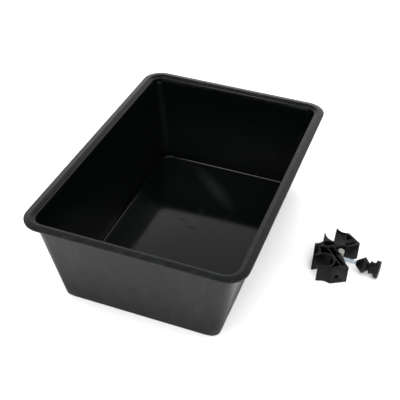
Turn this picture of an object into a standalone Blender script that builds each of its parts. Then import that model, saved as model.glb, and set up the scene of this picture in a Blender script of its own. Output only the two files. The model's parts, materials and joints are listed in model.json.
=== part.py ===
"""Mortar mixing tub with its loose pole clamp.

The tub is one thin moulding, drawn as rings that are lofted over the rim and
down the inside.  The clamp stands beside it on the same floor: two ribbed jaws
that turn about a trunnion nut, and a knob screw that carries a double cone.
Metres, +Z up, origin on the floor under the middle of the tub.
"""
import math

import bmesh
import bpy
from mathutils import Vector

MM = 0.001
GAP = 0.3                      # running gap between touching pieces, mm

# Tub, mm
RIM_WIDTH = 360.0              # across X, over the rim
RIM_LENGTH = 523.0             # along Y, over the rim
LIP_HEIGHT = 166.8             # floor to the rim's outer lip
RIM_RISE = 3.4                 # crest of the rim above its outer lip
RIM_CORNER = 35.8              # corner radius of the outer lip
RIM_OVERHANG = 15.0            # lip to the outside of the wall
WALL = 3.3                     # thickness of the walls
FLOOR = 3.0                    # thickness of the floor
TAPER_X = 30.6                 # how far the foot stands in from the wall's top
TAPER_Y = 28.8
FOOT_CORNER = 15.0             # corner radius at the foot
FOOT_FILLET = 4.0              # outside radius between wall and floor
FLOOR_FILLET = 3.2             # inside radius between wall and floor
CORNER_STEPS = 7               # facets in each corner
# The rim's section from its underside, round the lip, over the crest and down two small
# ledges to the inside: inset from the lip and height above it
RIM_SECTION = [(13.2, -0.6), (8.0, 0.2), (3.2, -0.7), (1.0, -1.4), (0.2, -1.2), (0.0, -0.6), (0.0, 1.3),
               (0.7, 1.9), (5.0, 2.7), (10.5, RIM_RISE), (11.2, 2.6), (11.6, 1.8), (13.6, 1.7),
               (14.2, 0.4), (14.6, 0.0), (16.6, -0.1), (18.0, -2.2)]

# Clamp, mm; plan positions are measured from the trunnion's axis
TRUNNION_X, TRUNNION_Y = 275.5, 25.4
CLAMP_HEIGHT = 33.0
SOCKET_CENTRE = (-21.3, -34.9)
SOCKET_RADIUS = 15.0
SOCKET_BACK = 18.0             # outside of the socket's curved rib
POCKET_FLOOR = 2.6
HOLE_RADIUS = 3.5              # hole through the front arm
HOLE_CENTRE = (4.1, -48.4, 15.0)

# Trunnion nut, a barrel standing on its spigot in the webs of both jaws
NUT_RADIUS = 5.8
NUT_LOW, NUT_HIGH = 7.6, 32.2
SEAT_RADIUS = 7.6              # front jaw's half of the seat
SPIGOT_RADIUS = 4.0
WEB_CLEAR, WEB_JOINED = 7.1, 8.3
FRONT_WEB = (1.9, 4.4)
REAR_WEB = (4.7, 7.2)

# Screw group, measured along the screw's axis from the trunnion
SCREW_HEIGHT = 16.0
SCREW_YAW = -5.3               # degrees, as the screw lies in the mouth
SCREW_RADIUS = 3.7
BORE_RADIUS = 4.0
SCREW_TIP = 1.0
CONE_START, CONE_RIDGE, CONE_END = 29.8, 42.6, 50.7
CONE_RIDGE_RADIUS = 14.6
CONE_NECK_RADIUS = 7.6
HUB_START, HEAD_START, HEAD_END = 53.0, 62.5, 70.4
HUB_RADIUS, HEAD_RADIUS = 11.3, 15.8
HEX_START, HEX_END, HEX_ACROSS = 57.0, 62.3, 13.0
CAP_RADIUS = 11.2
CAP_DEPTH = 2.2
TUNNEL_RADIUS = 4.6
# Room behind the nut for the screw's tip as it swings and advances
TUNNEL = [(-4.0, 5.6), (-21.5, 8.3), (-21.5, -7.3), (-4.0, -5.6)]
ROUND_STEPS = 40

for old in list(bpy.data.objects):
    bpy.data.objects.remove(old, do_unlink=True)


# ---------------------------------------------------------------- helpers

def material(name, colour, roughness, metallic=0.0):
    mat = bpy.data.materials.new(name)
    mat.use_nodes = True
    shader = mat.node_tree.nodes["Principled BSDF"]
    shader.inputs["Base Color"].default_value = (*colour, 1.0)
    shader.inputs["Roughness"].default_value = roughness
    shader.inputs["Metallic"].default_value = metallic
    return mat


def add_object(name, bm, mat, parent=None, smooth_angle=35.0):
    """Turn a bmesh into a named object with outward faces."""
    bmesh.ops.recalc_face_normals(bm, faces=bm.faces)
    mesh = bpy.data.meshes.new(name)
    bm.to_mesh(mesh)
    bm.free()
    obj = bpy.data.objects.new(name, mesh)
    bpy.context.scene.collection.objects.link(obj)
    mesh.shade_smooth()
    mesh.set_sharp_from_angle(angle=math.radians(smooth_angle))
    if mat is not None:
        mesh.materials.append(mat)
    obj.parent = parent
    return obj


def empty(name, location, yaw=0.0, parent=None):
    obj = bpy.data.objects.new(name, None)
    bpy.context.scene.collection.objects.link(obj)
    obj.location = Vector(location) * MM
    obj.rotation_euler = (0.0, 0.0, math.radians(yaw))
    obj.parent = parent
    return obj


def arc(centre, radius, start, end, steps):
    """Points on an arc from start to end, in degrees."""
    points = []
    for i in range(steps + 1):
        a = math.radians(start + (end - start) * i / steps)
        points.append((centre[0] + radius * math.cos(a), centre[1] + radius * math.sin(a)))
    return points


def bowed(start, end, depth, steps=5):
    """Points from start to end along a shallow curve that bows to the right."""
    (x0, y0), (x1, y1) = start, end
    length = math.hypot(x1 - x0, y1 - y0)
    side = ((y1 - y0) / length, -(x1 - x0) / length)
    points = []
    for i in range(steps + 1):
        t = i / steps
        bow = 4.0 * depth * t * (1.0 - t)
        points.append((x0 + (x1 - x0) * t + side[0] * bow, y0 + (y1 - y0) * t + side[1] * bow))
    return points


def prism_mesh(outline, low, high):
    bm = bmesh.new()
    base = [bm.verts.new((x * MM, y * MM, low * MM)) for x, y in outline]
    face = bm.faces.new(base)
    grown = bmesh.ops.extrude_face_region(bm, geom=[face])["geom"]
    lifted = [v for v in grown if isinstance(v, bmesh.types.BMVert)]
    bmesh.ops.translate(bm, verts=lifted, vec=(0.0, 0.0, (high - low) * MM))
    return bm


def tool(name, bm, parent):
    """A hidden shape that only cuts or adds to another object."""
    obj = add_object(name, bm, None, parent)
    obj.hide_render = True
    obj.display_type = "WIRE"
    return obj


def combine(target, other, operation):
    mod = target.modifiers.new(other.name, "BOOLEAN")
    mod.operation = operation
    mod.solver = "EXACT"
    mod.object = other


def pocket(target, name, outline, low, high=CLAMP_HEIGHT + 1.0):
    combine(target, tool(name, prism_mesh(outline, low, high), target.parent), "DIFFERENCE")


def lug(target, name, outline, low, high):
    combine(target, tool(name, prism_mesh(outline, low, high), target.parent), "UNION")


def turned_mesh(profile, steps=ROUND_STEPS, closed=True):
    """Spin (x, radius) points about X; closed joins the last point to the first."""
    bm = bmesh.new()
    verts = [bm.verts.new((x * MM, 0.0, r * MM)) for x, r in profile]
    edges = [bm.edges.new(pair) for pair in zip(verts, verts[1:])]
    if closed:
        edges.append(bm.edges.new((verts[-1], verts[0])))
    bmesh.ops.spin(bm, geom=verts + edges, cent=(0, 0, 0), axis=(1, 0, 0),
                   angle=2.0 * math.pi, steps=steps)
    bmesh.ops.remove_doubles(bm, verts=bm.verts, dist=1e-7)
    return bm


def turned(name, profile, mat, parent, closed=True):
    return add_object(name, turned_mesh(profile, closed=closed), mat, parent)


def circle(centre, radius, steps=32):
    return arc(centre, radius, 0.0, 360.0 - 360.0 / steps, steps - 1)


# ---------------------------------------------------------------- materials

tub_plastic = material("tub_plastic", (0.018, 0.018, 0.019), 0.38)
clamp_plastic = material("clamp_plastic", (0.028, 0.028, 0.029), 0.5)
knob_plastic = material("knob_plastic", (0.03, 0.03, 0.031), 0.48)
washer_nylon = material("washer_nylon", (0.02, 0.02, 0.02), 0.55)
zinc = material("zinc", (0.62, 0.64, 0.66), 0.28, 1.0)
nut_metal = material("nut_metal", (0.66, 0.64, 0.55), 0.42, 1.0)


# ---------------------------------------------------------------- tub

def rounded_ring(inset_x, inset_y, radius, height):
    """One horizontal ring of the tub, set in from the outer lip."""
    half_x = RIM_WIDTH / 2 - inset_x
    half_y = RIM_LENGTH / 2 - inset_y
    points = []
    for quarter, (sx, sy) in enumerate(((1, 1), (-1, 1), (-1, -1), (1, -1))):
        centre = (sx * (half_x - radius), sy * (half_y - radius))
        points += arc(centre, radius, 90.0 * quarter, 90.0 * (quarter + 1), CORNER_STEPS)
    return [(x * MM, y * MM, height * MM) for x, y in points]


def wall_ring(height, depth):
    """A ring on the tapered wall; depth is measured in from its outside."""
    t = 1.0 - height / LIP_HEIGHT
    top_corner = RIM_CORNER - RIM_OVERHANG
    radius = top_corner + (FOOT_CORNER - top_corner) * t - depth
    inset_x = RIM_OVERHANG + TAPER_X * t + depth
    inset_y = RIM_OVERHANG + TAPER_Y * t + depth
    return rounded_ring(inset_x, inset_y, max(radius, 4.0), height)


def fillet_rings(floor, depth, radius):
    """Rings round the edge between the floor and the wall, from the floor up."""
    rings = []
    for degrees in (0.0, 30.0, 60.0, 90.0):
        a = math.radians(degrees)
        rings.append(wall_ring(floor + radius * (1.0 - math.cos(a)), depth + radius * (1.0 - math.sin(a))))
    return rings


def make_tub():
    rings = fillet_rings(0.0, 0.0, FOOT_FILLET)
    rings += [wall_ring(90.0, 0.0), wall_ring(LIP_HEIGHT - 4.0, 0.0)]
    for inset, rise in RIM_SECTION:
        rings.append(rounded_ring(inset, inset, RIM_CORNER - inset, LIP_HEIGHT + rise))
    rings += [wall_ring(LIP_HEIGHT - 5.5, WALL - 0.1), wall_ring(LIP_HEIGHT - 8.5, WALL)]
    rings.append(wall_ring(90.0, WALL))
    rings += reversed(fillet_rings(FLOOR, WALL, FLOOR_FILLET))
    bm = bmesh.new()
    loops = []
    for ring in rings:
        verts = [bm.verts.new(co) for co in ring]
        loops.append([bm.edges.new((a, b)) for a, b in zip(verts, verts[1:] + verts[:1])])
    for lower, upper in zip(loops, loops[1:]):
        bmesh.ops.bridge_loops(bm, edges=lower + upper)
    bmesh.ops.contextual_create(bm, geom=loops[0])
    bmesh.ops.contextual_create(bm, geom=loops[-1])
    add_object("tub", bm, tub_plastic)


# ---------------------------------------------------------------- jaws

def make_rear_knuckle(jaw):
    """The rear jaw's web under the nut, with the spigot's hole and the screw's tunnel."""
    web = arc((0.0, 0.0), WEB_CLEAR, 228.0, 410.0, 18)
    web += [(5.6, 11.4), (3.2, 13.6), (-1.1, 12.9), (-6.5, 9.1), (-12.0, 3.9), (-12.5, 1.5), (-6.9, -5.5)]
    lug(jaw, "rear_web", web, *REAR_WEB)
    pocket(jaw, "rear_pivot_hole", circle((0.0, 0.0), SPIGOT_RADIUS + GAP), 0.0, 9.0)
    pocket(jaw, "screw_tunnel", TUNNEL, SCREW_HEIGHT - TUNNEL_RADIUS, SCREW_HEIGHT + TUNNEL_RADIUS)


def make_front_knuckle(jaw):
    """The front jaw's web, just under the rear one."""
    web = arc((0.0, 0.0), WEB_JOINED, 232.0, 314.0, 8) + arc((0.0, 0.0), WEB_CLEAR, 324.0, 582.0, 26)
    lug(jaw, "front_web", web, *FRONT_WEB)
    pocket(jaw, "front_pivot_hole", circle((0.0, 0.0), SPIGOT_RADIUS + GAP), 0.0, 9.0)


def make_rear_jaw(clamp):
    """Upper half of the socket, the finned saddle and the long rear arm."""
    small_fin = [(-37.4, 34.0), (-36.2, 34.6)] + bowed((-34.8, 31.8), (-19.9, 18.7), 2.4)
    big_fin = [(-17.4, 18.9), (-20.0, 55.0), (-19.0, 55.6)] + bowed((-17.6, 54.6), (-7.1, 48.6), 1.2)
    arm = [(-2.4, 49.2), (3.0, 50.4), (5.6, 48.8), (27.0, 30.6), (26.8, 26.8), (9.4, 12.4)]
    seat = [(5.0, 10.4), (2.8, 12.6), (-0.7, 11.8), (-5.8, 8.2), (-11.0, 3.3), (-11.6, 1.5), (-5.7, -5.1)]
    socket = arc(SOCKET_CENTRE, SOCKET_RADIUS, 58.0, 148.0, 10)
    outline = [(-46.7, 1.2), (-39.5, 4.7), (-34.6, 12.0)] + small_fin + big_fin + arm + seat
    outline += [(-7.6, -10.5), (-9.6, -16.8)] + socket + [(-40.6, -31.6), (-42.4, -31.6)]
    jaw = add_object("rear_jaw", prism_mesh(outline, 0.0, CLAMP_HEIGHT), clamp_plastic, clamp)
    pocket(jaw, "end_pocket", [(-48.0, -3.6), (-40.2, -3.0), (-35.0, -18.4), (-38.4, -23.4),
                               (-42.8, -28.6), (-48.0, -28.6)], 20.0)
    pocket(jaw, "block_pocket", [(-36.9, -3.0), (-27.4, -3.0), (-24.8, -3.6), (-13.1, -16.7)]
           + arc(SOCKET_CENTRE, SOCKET_BACK, 70.0, 116.0, 6) + [(-31.4, -18.8)], POCKET_FLOOR)
    pocket(jaw, "root_pocket", [(-22.6, -2.4), (-16.2, 3.4), (-14.2, 1.4), (-9.4, -4.2), (-5.5, -8.5),
                                (-6.0, -16.0), (-8.8, -18.3)], POCKET_FLOOR)
    pocket(jaw, "saddle_pocket", [(-34.4, 4.6), (-31.2, 12.4), (-26.5, 15.2), (-19.6, 14.6),
                                  (-13.4, 13.2), (-19.6, 6.2), (-27.2, 1.6)], POCKET_FLOOR)
    pocket(jaw, "arm_slot", [(3.2, 17.6), (5.4, 16.0), (19.4, 28.2), (17.2, 30.8), (3.6, 20.0)],
           POCKET_FLOOR)
    pocket(jaw, "shoulder_pocket", [(-0.4, 47.2), (2.9, 30.0), (13.2, 37.6)], POCKET_FLOOR)
    pocket(jaw, "fin_recess", [(-16.2, 22.4), (-18.0, 50.4), (-8.4, 46.2), (-3.4, 46.0),
                               (-0.2, 29.0), (-4.4, 24.4)], CLAMP_HEIGHT - 2.2)
    make_rear_knuckle(jaw)


def make_front_jaw(clamp):
    """Lower half of the socket and the drilled front arm."""
    face_start, face_end = (21.3, -39.0), (-4.1, -53.9)
    seat = arc((0.0, 0.0), SEAT_RADIUS, 228.0, 318.0, 8)
    outline = arc(SOCKET_CENTRE, SOCKET_RADIUS, -110.0, 56.0, 20) + [(-9.0, -16.9), (-7.0, -10.7)] + seat
    outline += [(8.8, -8.0), (8.4, -11.4), (1.4, -16.9), (11.7, -25.2), (13.9, -30.6), face_start, face_end]
    outline += [(-11.9, -51.9), (-17.4, -51.7), (-28.7, -55.6), (-29.3, -51.2)]
    jaw = add_object("front_jaw", prism_mesh(outline, 0.0, CLAMP_HEIGHT), clamp_plastic, clamp)
    pocket(jaw, "nut_step", [(-8.6, -13.2), (-6.6, -3.0), (10.0, -3.0), (10.0, -12.4), (1.6, -15.6)], 22.0)
    pocket(jaw, "ring_pocket", [(-3.3, -28.4), (-0.2, -31.5), (5.5, -38.5), (4.6, -41.2), (0.2, -44.4),
                                (-6.4, -48.2)] + arc(SOCKET_CENTRE, SOCKET_BACK, -44.0, 16.0, 8),
           POCKET_FLOOR)
    pocket(jaw, "arm_pocket", [(-11.9, -14.4), (-8.1, -11.1), (-4.2, -15.6), (5.7, -26.9), (9.0, -30.7),
                               (13.4, -36.4), (7.6, -37.2)], POCKET_FLOOR)
    lug(jaw, "socket_lug", arc(SOCKET_CENTRE, SOCKET_RADIUS + 1.0, 34.0, 50.0, 3)
        + arc(SOCKET_CENTRE, SOCKET_RADIUS - 3.2, 48.0, 36.0, 3), POCKET_FLOOR, CLAMP_HEIGHT)
    make_front_knuckle(jaw)
    face_angle = math.atan2(face_start[1] - face_end[1], face_start[0] - face_end[0])
    drill = turned_mesh([(-1.0, 0.0), (-1.0, HOLE_RADIUS), (9.0, HOLE_RADIUS), (9.0, 0.0)], 24, False)
    cutter = tool("arm_hole", drill, clamp)
    cutter.location = Vector(HOLE_CENTRE) * MM
    cutter.rotation_euler = (0.0, 0.0, face_angle + math.pi / 2)
    combine(jaw, cutter, "DIFFERENCE")


# ---------------------------------------------------------------- nut and screw

def make_nut(clamp, line):
    """Barrel nut on a spigot, tapped across for the screw, with its retaining ring."""
    swivel = empty("nut_swivel", (0.0, 0.0, 0.0), SCREW_YAW, clamp)
    barrel = prism_mesh(circle((0.0, 0.0), NUT_RADIUS, ROUND_STEPS), NUT_LOW, NUT_HIGH)
    nut = add_object("trunnion_nut", barrel, nut_metal, swivel)
    lug(nut, "nut_spigot", circle((0.0, 0.0), SPIGOT_RADIUS), 0.7, NUT_LOW + 1.0)
    edges = nut.modifiers.new("edge_bevel", "BEVEL")
    edges.width = 0.7 * MM
    edges.segments = 1
    edges.limit_method = "ANGLE"
    edges.angle_limit = math.radians(60.0)
    bore = turned_mesh([(-9.0, 0.0), (-9.0, BORE_RADIUS), (9.0, BORE_RADIUS), (9.0, 0.0)], 32, False)
    combine(nut, tool("nut_bore", bore, line), "DIFFERENCE")
    ring = add_object("nut_retaining_ring", prism_mesh(circle((0.0, 0.0), 6.8), 0.8, 1.5), zinc, swivel)
    pocket(ring, "ring_hole", circle((0.0, 0.0), SPIGOT_RADIUS + GAP), 0.0, 4.0)


def make_screw(line):
    """Threaded rod with a hexagon head that the knob holds."""
    profile = [(SCREW_TIP, 0.0), (SCREW_TIP, SCREW_RADIUS - 0.7), (SCREW_TIP + 0.7, SCREW_RADIUS),
               (HEX_START + 1.0, SCREW_RADIUS), (HEX_START + 1.0, 0.0)]
    screw = turned("clamp_screw", profile, zinc, line, closed=False)
    radius = HEX_ACROSS / 2 / math.cos(math.pi / 6)
    head = turned_mesh([(HEX_START, 0.0), (HEX_START, radius), (HEX_END, radius), (HEX_END, 0.0)], 6, False)
    combine(screw, tool("hex_head", head, line), "UNION")


def make_cone(line):
    """Double cone that slides on the screw, and the washer behind it."""
    bore = SCREW_RADIUS + 0.5
    neck, ridge = CONE_NECK_RADIUS, CONE_RIDGE_RADIUS
    profile = [(CONE_START, bore), (CONE_START, 5.0), (CONE_START + 0.8, 5.8), (CONE_RIDGE - 0.7, ridge)]
    profile += [(CONE_RIDGE + 0.7, ridge), (CONE_END - 0.8, neck + 0.4), (CONE_END, neck), (CONE_END, bore)]
    turned("spreader_cone", list(reversed(profile)), knob_plastic, line)
    low, high = CONE_END + GAP, HUB_START - GAP
    turned("thrust_washer", [(high, bore), (high, neck - 0.4), (low, neck - 0.4), (low, bore)], washer_nylon,
           line)


def make_knob(line):
    """Hub and head in one moulding round the screw's head, closed by a cap."""
    bore = SCREW_RADIUS + GAP
    waist = HUB_RADIUS - 0.9
    hub = [(HUB_START, bore), (HUB_START, HUB_RADIUS - 0.6), (HUB_START + 0.6, HUB_RADIUS)]
    hub += [(HUB_START + 2.6, HUB_RADIUS), (HUB_START + 3.4, waist), (HEAD_START, waist)]
    head = [(HEAD_START, HEAD_RADIUS - 0.7), (HEAD_START + 0.7, HEAD_RADIUS)]
    head += [(HEAD_END - 1.2, HEAD_RADIUS), (HEAD_END, HEAD_RADIUS - 1.2), (HEAD_END, CAP_RADIUS)]
    well = [(HEAD_END - CAP_DEPTH, CAP_RADIUS), (HEAD_END - CAP_DEPTH, bore)]
    knob = turned("knob_body", list(reversed(hub + head + well)), knob_plastic, line)
    radius = (HEX_ACROSS / 2 + GAP + 0.1) / math.cos(math.pi / 6)
    start, end = HEX_START - GAP, HEAD_END + 1.0
    hexagon = turned_mesh([(start, 0.0), (start, radius), (end, radius), (end, 0.0)], 6, False)
    combine(knob, tool("hex_pocket", hexagon, line), "DIFFERENCE")
    rim, seat = CAP_RADIUS - GAP, HEAD_END - CAP_DEPTH + GAP
    cap = [(seat, 0.0), (seat, rim), (HEAD_END, rim)]
    cap += [(HEAD_END + 0.6, rim * 0.8), (HEAD_END + 0.95, rim * 0.4), (HEAD_END + 1.05, 0.0)]
    turned("knob_cap", cap, knob_plastic, line, closed=False)


def make_clamp():
    clamp = empty("clamp_base", (TRUNNION_X, TRUNNION_Y, 0.0))
    line = empty("screw_line", (0.0, 0.0, SCREW_HEIGHT), SCREW_YAW, clamp)
    make_rear_jaw(clamp)
    make_front_jaw(clamp)
    make_nut(clamp, line)
    make_screw(line)
    make_cone(line)
    make_knob(line)


make_tub()
make_clamp()
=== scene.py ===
"""Looks of the mortar mixing tub and its loose pole clamp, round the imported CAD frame.

The tub's shell is lofted again, finely, with a rolled rim, gently bowed walls and a
slightly crowned floor.  The clamp's mouldings keep their CAD shape and get rounded
edges, and the screw gets its thread.  Metres, +Z up, in the CAD's frame.
"""
import json
import math

import bmesh
import bpy
from mathutils import Matrix, Vector


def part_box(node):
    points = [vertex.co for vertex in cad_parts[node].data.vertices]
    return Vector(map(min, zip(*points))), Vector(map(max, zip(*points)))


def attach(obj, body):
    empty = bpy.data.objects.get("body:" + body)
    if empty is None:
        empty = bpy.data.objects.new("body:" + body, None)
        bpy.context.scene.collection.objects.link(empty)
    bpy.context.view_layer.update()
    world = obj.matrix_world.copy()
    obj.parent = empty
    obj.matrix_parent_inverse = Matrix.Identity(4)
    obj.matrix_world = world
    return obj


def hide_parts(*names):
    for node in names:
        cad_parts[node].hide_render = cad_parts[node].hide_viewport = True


MM = 0.001

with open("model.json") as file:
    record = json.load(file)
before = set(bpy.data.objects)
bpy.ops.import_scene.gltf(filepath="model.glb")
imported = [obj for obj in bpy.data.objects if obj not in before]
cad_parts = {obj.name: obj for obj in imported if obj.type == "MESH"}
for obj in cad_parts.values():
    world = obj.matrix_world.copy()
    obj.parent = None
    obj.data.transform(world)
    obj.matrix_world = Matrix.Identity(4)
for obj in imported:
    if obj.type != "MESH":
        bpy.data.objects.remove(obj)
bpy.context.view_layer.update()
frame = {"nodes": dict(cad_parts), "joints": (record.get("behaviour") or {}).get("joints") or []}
nodes = frame["nodes"]
joints = {joint["name"]: joint for joint in frame["joints"]}
rim_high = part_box("tub")[1]

# Tub shell, mm
RIM_CORNER = 35.8              # corner radius of the rim's outer lip
RIM_OVERHANG = 15.0            # lip to the outside of the wall
RIM_RISE = 3.4                 # crest of the rim above its outer lip
HALF_WIDTH, HALF_LENGTH = rim_high.x / MM, rim_high.y / MM
LIP_HEIGHT = rim_high.z / MM - RIM_RISE
WALL, FLOOR = 3.0, 3.0
TAPER_X, TAPER_Y = 30.6, 28.8  # how far the foot stands in from the wall's top
WALL_CORNER = RIM_CORNER - RIM_OVERHANG
FOOT_CORNER = 15.0
FOOT_FILLET, FLOOR_FILLET = 4.0, 3.2
WALL_BOW = 2.0                 # how far a side leans out at its middle
FLOOR_CROWN = 4.0              # how far the floor rises to its middle
# What a corner's radius gains, at the wall's top and at its foot, on rings set in from the outside
INNER_CORNER_TOP, INNER_CORNER_FOOT = -4.0, 6.0

ON_SIDE = 1.0                  # points this close to a side's line lie on that side

# How finely the shell is lofted
CORNER_STEPS, SIDE_STEPS = 14, 22
WALL_STEPS, RIM_STEPS, FILLET_STEPS, CROWN_STEPS = 10, 3, 6, 12

# Screw, mm along its axis from the trunnion's middle, and across it
SCREW_TIP, THREAD_LENGTH = 1.0, 56.0
THREAD_PITCH = 1.25
THREAD_CREST, THREAD_ROOT = 3.7, 3.3
THREAD_LEAD_IN = 1.2           # length over which the thread grows at the tip
THREAD_FLANK, THREAD_FLAT = 2.2, 0.05    # slope of the flanks, and the cut that leaves a flat root
THREAD_AROUND, THREAD_ROWS = 28, 6       # points round the rod, and rings for each turn of thread
HEAD_RADIUS, HEAD_GAP, HEAD_EDGE = 7.5, 0.1, 0.3

# Rounding of the clamp's pieces: the CAD's seams (m) and flat facets (degrees) that are
# merged first, and how sharp an edge has to be (degrees) to be rounded
SEAM, FLAT, SHARP = 1e-6, 1.0, 32.0


# ---------------------------------------------------------------- camera

CAMERA_AZIMUTH, CAMERA_ELEVATION, CAMERA_ROLL = 19.01, 37.94, 2.05
CAMERA_DISTANCE = 1.304
CAMERA_SLIDE = (0.0189, -0.0686)     # sideways and up, from the middle of the rim
CAMERA_LENS, CAMERA_SENSOR = 69.42, 36.0


def make_camera():
    azimuth, elevation = math.radians(CAMERA_AZIMUTH), math.radians(CAMERA_ELEVATION)
    roll = math.radians(CAMERA_ROLL)
    back = Vector((math.sin(azimuth) * math.cos(elevation),
                   -math.cos(azimuth) * math.cos(elevation),
                   math.sin(elevation)))
    right = Vector((math.cos(azimuth), math.sin(azimuth), 0.0))
    up = back.cross(right)
    right, up = (math.cos(roll) * right + math.sin(roll) * up,
                 math.cos(roll) * up - math.sin(roll) * right)
    data = bpy.data.cameras.new("camera")
    data.sensor_width, data.lens = CAMERA_SENSOR, CAMERA_LENS
    camera = bpy.data.objects.new("camera", data)
    bpy.context.scene.collection.objects.link(camera)
    slide_right, slide_up = CAMERA_SLIDE
    place = Matrix((right, up, back)).transposed().to_4x4()
    place.translation = (Vector((0.0, 0.0, LIP_HEIGHT * MM)) + back * CAMERA_DISTANCE
                         + right * slide_right + up * slide_up)
    camera.matrix_world = place
    bpy.context.scene.camera = camera


make_camera()


# ---------------------------------------------------------------- materials

class Nodes:
    """A Principled material and short calls that add nodes to it."""

    def __init__(self, name, **values):
        self.material = bpy.data.materials.new(name)
        self.material.use_nodes = True
        self.tree = self.material.node_tree
        self.shader = self.tree.nodes["Principled BSDF"]
        self.fill(self.shader, values)
        coordinates = self.add("ShaderNodeTexCoord")
        self.place, self.normal = coordinates.outputs["Object"], coordinates.outputs["Normal"]

    def fill(self, node, values):
        """Set a node's sockets; an underscore stands for a space in a socket's name."""
        for socket, value in values.items():
            node.inputs[socket.replace("_", " ")].default_value = value

    def add(self, kind, **values):
        node = self.tree.nodes.new(kind)
        self.fill(node, values)
        return node

    def link(self, source, target):
        self.tree.links.new(source, target)

    # Sources

    def noise(self, scale, detail=3.0, stretch=(1.0, 1.0, 1.0)):
        mapping = self.add("ShaderNodeMapping", Scale=stretch)
        self.link(self.place, mapping.inputs["Vector"])
        node = self.add("ShaderNodeTexNoise", Scale=scale, Detail=detail)
        self.link(mapping.outputs["Vector"], node.inputs["Vector"])
        return node.outputs["Fac"]

    def cells(self, scale):
        node = self.add("ShaderNodeTexVoronoi", Scale=scale)
        self.link(self.place, node.inputs["Vector"])
        return node.outputs["Distance"]

    def blot(self, middle, yaw, reach):
        """A soft spot, 1 at its middle (mm) and 0 at its reach (mm) along its own axes."""
        mapping = self.add("ShaderNodeMapping", Location=[c * MM for c in middle],
                           Rotation=(0.0, 0.0, math.radians(yaw)), Scale=[c * MM for c in reach])
        mapping.vector_type = "TEXTURE"
        self.link(self.place, mapping.inputs["Vector"])
        spot = self.add("ShaderNodeTexGradient")
        spot.gradient_type = "SPHERICAL"
        self.link(mapping.outputs["Vector"], spot.inputs["Vector"])
        return spot.outputs["Fac"]

    def height(self):
        split = self.add("ShaderNodeSeparateXYZ")
        self.link(self.place, split.inputs["Vector"])
        return split.outputs["Z"]

    def facing_outwards(self):
        """How far (m) the surface's plane is from the origin; negative where it faces inwards."""
        node = self.add("ShaderNodeVectorMath")
        node.operation = "DOT_PRODUCT"
        self.link(self.place, node.inputs[0])
        self.link(self.normal, node.inputs[1])
        return node.outputs["Value"]

    # Arithmetic

    def spread(self, value, low, high, out_low=0.0, out_high=1.0):
        """Map a value's range low..high to out_low..out_high, clamped."""
        node = self.add("ShaderNodeMapRange", From_Min=low, From_Max=high,
                        To_Min=out_low, To_Max=out_high)
        self.link(value, node.inputs["Value"])
        return node.outputs["Result"]

    def combine(self, operation, total, *values):
        for value in values:
            node = self.add("ShaderNodeMath")
            node.operation = operation
            self.link(total, node.inputs[0])
            self.link(value, node.inputs[1])
            total = node.outputs["Value"]
        return total

    def sum(self, *values):
        return self.combine("ADD", *values)

    def product(self, *values):
        return self.combine("MULTIPLY", *values)

    # What the shader gets

    def tint(self, amount, low, high):
        """Base colour from low to high as amount goes from 0 to 1."""
        ramp = self.add("ShaderNodeValToRGB")
        ramp.color_ramp.elements[0].color = (*low, 1.0)
        ramp.color_ramp.elements[1].color = (*high, 1.0)
        self.link(amount, ramp.inputs["Fac"])
        self.link(ramp.outputs["Color"], self.shader.inputs["Base Color"])

    def rough(self, amount):
        self.link(amount, self.shader.inputs["Roughness"])

    def bump(self, height, depth):
        """Raise the surface by height times depth, in mm, on top of any bump before it."""
        below = self.shader.inputs["Normal"].links
        node = self.add("ShaderNodeBump", Strength=1.0, Distance=depth * MM)
        if below:
            self.link(below[0].from_socket, node.inputs["Normal"])
        self.link(height, node.inputs["Height"])
        self.link(node.outputs["Normal"], self.shader.inputs["Normal"])


TUB_BLACK, TUB_DUST = (0.001, 0.0014, 0.0013), (0.05, 0.058, 0.056)
RUNS = (1.0, 1.0, 0.06)        # draws noise out into upright streaks,
SCRAPES = (1.0, 0.18, 1.0)     # into long marks along the tub
WIPES = (0.5, 1.0, 1.0)        # and into short ones across it

# Marks on the tub's floor: middle in mm, yaw in degrees and reach in mm
FILM_PATCH = (2.0, 145.0, 6.0), -45.0, (90.0, 20.0, 30.0)
SMUDGE_PATCH = (-12.0, 4.0, 6.0), 0.0, (60.0, 40.0, 30.0)


def tub_plastic():
    """Black polypropylene, polished inside and satin outside, with light wear and dust."""
    m = Nodes("tub_plastic", Specular_IOR_Level=0.22)
    height, outwards = m.height(), m.facing_outwards()
    outer_walls = m.spread(outwards, 0.05, 0.1)
    inner_walls = m.spread(outwards, -0.07, -0.03, 1.0, 0.0)

    film = m.spread(m.blot(*FILM_PATCH), 0.0, 1.0, 0.0, 0.12)
    streaks = m.product(m.spread(m.noise(110.0, 3.0, RUNS), 0.5, 0.75, 0.0, 0.09), outer_walls)
    specks = m.product(m.spread(m.cells(150.0), 0.03, 0.05, 1.0, 0.0),
                       m.spread(m.noise(22.0, 2.0), 0.55, 0.65))
    m.tint(m.sum(film, streaks, specks), TUB_BLACK, TUB_DUST)

    haze = m.spread(m.noise(7.0, 2.0), 0.3, 0.7, 0.07, 0.11)
    scuffs = m.spread(m.noise(60.0, 5.0, SCRAPES), 0.55, 0.75, 0.0, 0.07)
    worn = m.product(m.spread(height, 0.06, 0.15, 0.3, 0.04), m.spread(height, 0.008, 0.02),
                     inner_walls)
    smudges = m.product(m.spread(m.blot(*SMUDGE_PATCH), 0.1, 0.5),
                        m.spread(m.noise(90.0, 2.0, WIPES), 0.6, 0.67, 0.0, 0.22))
    satin = m.product(outer_walls, m.spread(height, 0.0, 0.16, 0.6, 0.16))
    m.rough(m.sum(haze, scuffs, worn, smudges, satin))

    m.bump(m.noise(14.0, 2.0), 0.04)
    m.bump(m.noise(420.0, 2.0), 0.02)
    m.bump(m.noise(900.0, 2.0), 0.008)
    return m.material


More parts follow.
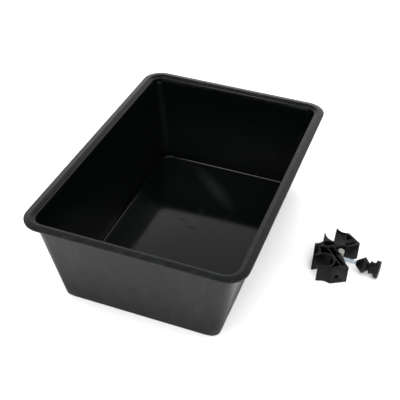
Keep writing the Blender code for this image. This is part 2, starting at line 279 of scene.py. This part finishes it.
def clamp_plastic(name, colour, roughness):
    """Satin glass-filled nylon: fine pitting and slightly paler, rubbed patches."""
    m = Nodes(name, Specular_IOR_Level=0.12)
    rubbed = m.spread(m.noise(160.0, 4.0), 0.45, 0.75)
    m.tint(rubbed, tuple(0.75 * c for c in colour), tuple(1.7 * c for c in colour))
    m.rough(m.spread(m.noise(420.0, 3.0), 0.3, 0.7, roughness - 0.07, roughness + 0.1))
    m.bump(m.noise(1500.0, 3.0), 0.03)
    return m.material


def plated(name, low, high, roughness):
    """Plate over turned metal: cloudy colour and fine turning marks."""
    m = Nodes(name, Metallic=1.0)
    m.tint(m.spread(m.noise(240.0, 3.0), 0.3, 0.7), low, high)
    m.rough(m.spread(m.noise(700.0, 3.0), 0.3, 0.7, roughness - 0.08, roughness + 0.1))
    m.bump(m.noise(2200.0, 2.0), 0.01)
    return m.material


TUB = tub_plastic()
CLAMP = clamp_plastic("clamp_plastic", (0.0016, 0.0017, 0.0017), 0.36)
KNOB = clamp_plastic("knob_plastic", (0.0028, 0.0027, 0.0028), 0.36)
WASHER = clamp_plastic("washer_nylon", (0.002, 0.002, 0.002), 0.5)
ZINC = plated("zinc", (0.42, 0.49, 0.56), (0.64, 0.7, 0.76), 0.28)
NUT = plated("nut_metal", (0.24, 0.235, 0.205), (0.42, 0.41, 0.365), 0.42)


# ---------------------------------------------------------------- pieces

def add_piece(name, bm, material, body, replaces=()):
    """A finished mesh that rides on a CAD body and stands for some of its nodes."""
    bmesh.ops.recalc_face_normals(bm, faces=bm.faces)
    mesh = bpy.data.meshes.new(name)
    bm.to_mesh(mesh)
    bm.free()
    mesh.materials.append(material)
    mesh.shade_smooth()
    piece = bpy.data.objects.new(name, mesh)
    bpy.context.scene.collection.objects.link(piece)
    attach(piece, body)
    if replaces:
        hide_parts(*replaces)
    return piece


def round_edges(piece, width):
    """Round the piece's sharp edges off by a width in mm."""
    bevel = piece.modifiers.new("rounded_edges", "BEVEL")
    bevel.width = width * MM
    bevel.segments = 2
    bevel.limit_method = "ANGLE"
    return bevel


def arc(centre, radius, start, end, steps):
    """Points on an arc from start to end, in degrees."""
    points = []
    for i in range(steps + 1):
        a = math.radians(start + (end - start) * i / steps)
        points.append((centre[0] + radius * math.cos(a), centre[1] + radius * math.sin(a)))
    return points


def even_steps(start, end, steps):
    """Points between start and end, without either of them."""
    return [(start[0] + (end[0] - start[0]) * i / steps, start[1] + (end[1] - start[1]) * i / steps)
            for i in range(1, steps)]


def skin(rings):
    """A closed mesh over rings of equally many points, with a flat face at each end."""
    bm = bmesh.new()
    loops = [[bm.verts.new(point) for point in points] for points in rings]
    for lower, upper in zip(loops, loops[1:]):
        for i in range(len(lower)):
            bm.faces.new((lower[i - 1], lower[i], upper[i], upper[i - 1]))
    bm.faces.new(loops[0])
    bm.faces.new(loops[-1])
    return bm


# ---------------------------------------------------------------- tub

def lean(bow, across, half, along, straight):
    """How far a point on a straight side leans outwards, which is most at the side's middle."""
    if abs(across) <= half - ON_SIDE:
        return 0.0
    return math.copysign(bow, across) * max(0.0, 1.0 - (along / straight) ** 2)


def ring(inset_x, inset_y, radius, height, bow=0.0):
    """One level ring, set in from the outer lip; bow pushes each side's middle outwards."""
    half_x, half_y = HALF_WIDTH - inset_x, HALF_LENGTH - inset_y
    straight_x, straight_y = half_x - radius, half_y - radius
    corners = []
    for quarter, (sx, sy) in enumerate(((1, 1), (-1, 1), (-1, -1), (1, -1))):
        centre = (sx * straight_x, sy * straight_y)
        corners.append(arc(centre, radius, 90.0 * quarter, 90.0 * (quarter + 1), CORNER_STEPS))
    points = []
    for corner, following in zip(corners, corners[1:] + corners[:1]):
        points += corner + even_steps(corner[-1], following[0], SIDE_STEPS)
    return [((x + lean(bow, x, half_x, y, straight_y)) * MM,
             (y + lean(bow, y, half_y, x, straight_x)) * MM,
             height * MM) for x, y in points]


def wall_ring(height, depth):
    """A ring on the tapered wall; depth is measured in from its outside."""
    t = 1.0 - height / LIP_HEIGHT
    radius = WALL_CORNER + (FOOT_CORNER - WALL_CORNER) * t - depth
    if depth > 0.0:      # the foot's outer fillet counts as set in too
        radius += INNER_CORNER_TOP + (INNER_CORNER_FOOT - INNER_CORNER_TOP) * t
    return ring(RIM_OVERHANG + TAPER_X * t + depth, RIM_OVERHANG + TAPER_Y * t + depth,
                radius, height, WALL_BOW * math.sin(math.pi * t))


def wall_rings(start, end, depth):
    """Even rings up or down the wall, from one height to another."""
    return [wall_ring(start + (end - start) * i / WALL_STEPS, depth) for i in range(WALL_STEPS + 1)]


def fillet_rings(floor, depth, radius):
    """Rings round the edge between the floor and the wall, from the floor up."""
    rings = []
    for i in range(FILLET_STEPS + 1):
        a = math.radians(90.0 * i / FILLET_STEPS)
        up, inward = radius * (1.0 - math.cos(a)), radius * (1.0 - math.sin(a))
        rings.append(wall_ring(floor + up, depth + inward))
    return rings


def crowned_ring(edge, inward):
    """The floor's edge ring drawn in towards the middle, where the floor rises slightly."""
    half_x, half_y = max(x for x, y, z in edge), max(y for x, y, z in edge)
    points = []
    for x, y, z in edge:
        across, along = x * (1.0 - inward), y * (1.0 - inward)
        rise = FLOOR_CROWN * MM * (1.0 - (across / half_x) ** 2) * (1.0 - (along / half_y) ** 2)
        points.append((across, along, z + rise))
    return points


def smooth_path(points, steps):
    """A Catmull-Rom curve through the points, with steps spans between neighbours."""
    padded = [points[0], *points, points[-1]]
    path = []
    for p0, p1, p2, p3 in zip(padded, padded[1:], padded[2:], padded[3:]):
        for i in range(steps):
            t = i / steps
            path.append(tuple(0.5 * (2 * b + (c - a) * t + (2 * a - 5 * b + 4 * c - d) * t ** 2
                                     + (3 * b - a - 3 * c + d) * t ** 3)
                              for a, b, c, d in zip(p0, p1, p2, p3)))
    return [*path, points[-1]]


# The rim's section from the underside, round the lip and over to the inside: inset from
# the lip and height above it, mm
RIM_SECTION = [
    (14.2, -1.2), (12.4, -0.3), (8.0, 0.2), (3.2, -0.7), (1.2, -1.4), (0.3, -1.3), (0.0, -0.8),
    (0.0, 0.6), (0.1, 1.4), (0.7, 1.9), (3.0, 2.4), (6.0, 2.9), (9.0, 3.3), (10.5, RIM_RISE),
    (11.1, 3.1), (11.3, 2.2), (11.6, 1.8), (13.6, 1.7), (14.0, 1.5), (14.2, 0.4), (14.6, 0.0),
    (16.6, -0.1), (17.3, -0.5), (17.8, -1.4), (18.2, -3.0)]

# Where the wall's rings end, mm.  Tops are below the lip, the inner foot is above the
# floor's fillet, and rings on the inside stand in from WALL by a little.
OUTER_TOP = 6.0
INNER_STEP = [(5.5, 0.2), (8.5, 0.3)]    # below the lip, and how far in
INNER_TOP, INNER_FOOT, INNER_SET_IN = 12.0, 1.0, 0.4
FILLET_SET_IN = 0.3


def make_tub():
    rings = fillet_rings(0.0, 0.0, FOOT_FILLET)
    rings += wall_rings(FOOT_FILLET, LIP_HEIGHT - OUTER_TOP, 0.0)[1:]
    rings += [ring(inset, inset, RIM_CORNER - inset, LIP_HEIGHT + rise)
              for inset, rise in smooth_path(RIM_SECTION, RIM_STEPS)]
    rings += [wall_ring(LIP_HEIGHT - down, WALL + set_in) for down, set_in in INNER_STEP]
    inner_foot = FLOOR + FLOOR_FILLET + INNER_FOOT
    rings += wall_rings(LIP_HEIGHT - INNER_TOP, inner_foot, WALL + INNER_SET_IN)
    rings += reversed(fillet_rings(FLOOR, WALL + FILLET_SET_IN, FLOOR_FILLET))
    floor_edge = rings[-1]
    rings += [crowned_ring(floor_edge, i / CROWN_STEPS) for i in range(1, CROWN_STEPS)]
    add_piece("tub_shell", skin(rings), TUB, "tub", ["tub"])


make_tub()


# ---------------------------------------------------------------- clamp

def soften(node, material, body, width):
    """The CAD node's own shape with its sharp edges rounded off by a width in mm."""
    bm = bmesh.new()
    bm.from_mesh(nodes[node].data)
    bmesh.ops.remove_doubles(bm, verts=bm.verts, dist=SEAM)
    bmesh.ops.dissolve_limit(bm, angle_limit=math.radians(FLAT), verts=bm.verts, edges=bm.edges)
    piece = add_piece(node + "_finished", bm, material, body, [node])
    bevel = round_edges(piece, width)
    bevel.angle_limit = math.radians(SHARP)
    bevel.harden_normals = True


soften("rear_jaw", CLAMP, "rear_jaw", 0.45)
soften("front_jaw", CLAMP, "front_jaw", 0.45)
soften("trunnion_nut", NUT, "nut", 0.3)
soften("nut_retaining_ring", ZINC, "nut", 0.1)
soften("spreader_cone", KNOB, "spreader", 0.3)
soften("thrust_washer", WASHER, "spreader", 0.1)
soften("knob_body", KNOB, "knob", 0.35)
soften("knob_cap", KNOB, "knob", 0.2)


def thread_radius(x, turn):
    """The screw's radius in metres at x along its axis and a fraction of a turn round it."""
    phase = (x / (THREAD_PITCH * MM) - turn) % 1.0
    rise = min(1.0, max(0.0, THREAD_FLANK * (0.5 - abs(phase - 0.5)) - THREAD_FLAT))
    lead = min(1.0, (x - SCREW_TIP * MM) / (THREAD_LEAD_IN * MM))
    return (THREAD_ROOT + (THREAD_CREST - THREAD_ROOT) * rise * lead) * MM


def make_screw():
    """The threaded rod from its tip, one closed skin, and its hexagon head."""
    axis, up = Vector(joints["knob_turn"]["axis"]).normalized(), Vector((0.0, 0.0, 1.0))
    side = up.cross(axis)
    anchor = Vector(joints["nut_swivel"]["pos_m"])
    anchor.z = Vector(joints["knob_turn"]["pos_m"]).z
    tip = SCREW_TIP * MM
    head_start = tip + THREAD_LENGTH * MM
    head_end = max((corner - anchor).dot(axis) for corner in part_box("clamp_screw"))

    rows = int((head_start - tip) / (THREAD_PITCH * MM / THREAD_ROWS))
    rings = []
    for row in range(rows + 1):
        x = tip + (head_start - tip) * row / rows
        points = []
        for k in range(THREAD_AROUND):
            turn = k / THREAD_AROUND
            a = 2.0 * math.pi * turn
            outwards = side * math.cos(a) + up * math.sin(a)
            points.append(anchor + axis * x + outwards * thread_radius(x, turn))
        rings.append(points)
    add_piece("screw_thread", skin(rings), ZINC, "knob", ["clamp_screw"])

    head = bmesh.new()
    place = Matrix((side, up, axis)).transposed().to_4x4()
    place.translation = anchor + axis * (head_start + head_end) / 2
    bmesh.ops.create_cone(head, cap_ends=True, segments=6, matrix=place,
                          radius1=HEAD_RADIUS * MM, radius2=HEAD_RADIUS * MM,
                          depth=head_end - head_start - HEAD_GAP * MM)
    round_edges(add_piece("screw_head", head, ZINC, "knob"), HEAD_EDGE)


make_screw()


# ---------------------------------------------------------------- room

PAPER_WHITE, PAPER_ROUGHNESS = (0.82, 0.82, 0.82, 1.0), 0.8
FLOOR_SIZE, FLOOR_DROP = 6.0, 0.0002     # the drop keeps the paper clear of the tub's underside

# The studio's glow against the height of the direction it comes from, 0 level to 1 overhead
SKY = [(0.0, 1.7), (0.5, 1.7), (0.59, 1.4), (0.66, 1.0), (0.74, 0.78), (1.0, 0.72)]


def make_floor():
    bm = bmesh.new()
    bmesh.ops.create_grid(bm, x_segments=1, y_segments=1, size=FLOOR_SIZE)
    mesh = bpy.data.meshes.new("floor")
    bm.to_mesh(mesh)
    bm.free()
    paper = Nodes("floor_paper", Base_Color=PAPER_WHITE, Roughness=PAPER_ROUGHNESS)
    mesh.materials.append(paper.material)
    floor = bpy.data.objects.new("floor", mesh)
    floor.location.z = -FLOOR_DROP
    bpy.context.scene.collection.objects.link(floor)


def make_sky():
    """Studio walls that are bright near the floor and dimmer overhead."""
    world = bpy.data.worlds.new("studio")
    world.use_nodes = True
    tree = world.node_tree
    direction = tree.nodes.new("ShaderNodeTexCoord")
    split = tree.nodes.new("ShaderNodeSeparateXYZ")
    ramp = tree.nodes.new("ShaderNodeValToRGB")
    brightest = max(glow for height, glow in SKY)
    stops = ramp.color_ramp.elements
    while len(stops) < len(SKY):
        stops.new(0.5)
    for stop, (height, glow) in zip(stops, SKY):
        grey = glow / brightest
        stop.position = height
        stop.color = (grey, grey, grey, 1.0)
    tree.links.new(direction.outputs["Generated"], split.inputs["Vector"])
    tree.links.new(split.outputs["Z"], ramp.inputs["Fac"])
    tree.links.new(ramp.outputs["Color"], tree.nodes["Background"].inputs["Color"])
    tree.nodes["Background"].inputs["Strength"].default_value = brightest
    bpy.context.scene.world = world


def add_softbox(name, place, aim, size, watts, in_gloss):
    """A soft light at a place, turned to a point; in_gloss says whether reflections show it."""
    data = bpy.data.lights.new(name, "AREA")
    data.shape = "RECTANGLE"
    data.size, data.size_y = size
    data.energy = watts
    light = bpy.data.objects.new(name, data)
    light.location = place
    light.rotation_euler = (Vector(aim) - Vector(place)).to_track_quat("-Z", "Y").to_euler()
    light.visible_glossy = in_gloss
    bpy.context.scene.collection.objects.link(light)


def make_room():
    make_floor()
    make_sky()
    bpy.context.scene.view_settings.view_transform = "Standard"
    add_softbox("overhead", place=(0.1, 0.0, 2.2), aim=(0.1, 0.0, 0.0),
                size=(2.6, 2.6), watts=55.0, in_gloss=False)
    add_softbox("front", place=(0.9, -1.6, 1.5), aim=(0.05, -0.2, 0.0),
                size=(1.8, 1.3), watts=26.0, in_gloss=False)
    add_softbox("key", place=(-0.55, -1.5, 1.7), aim=(0.0, 0.0, 0.1),
                size=(0.5, 0.5), watts=10.0, in_gloss=True)


make_room()
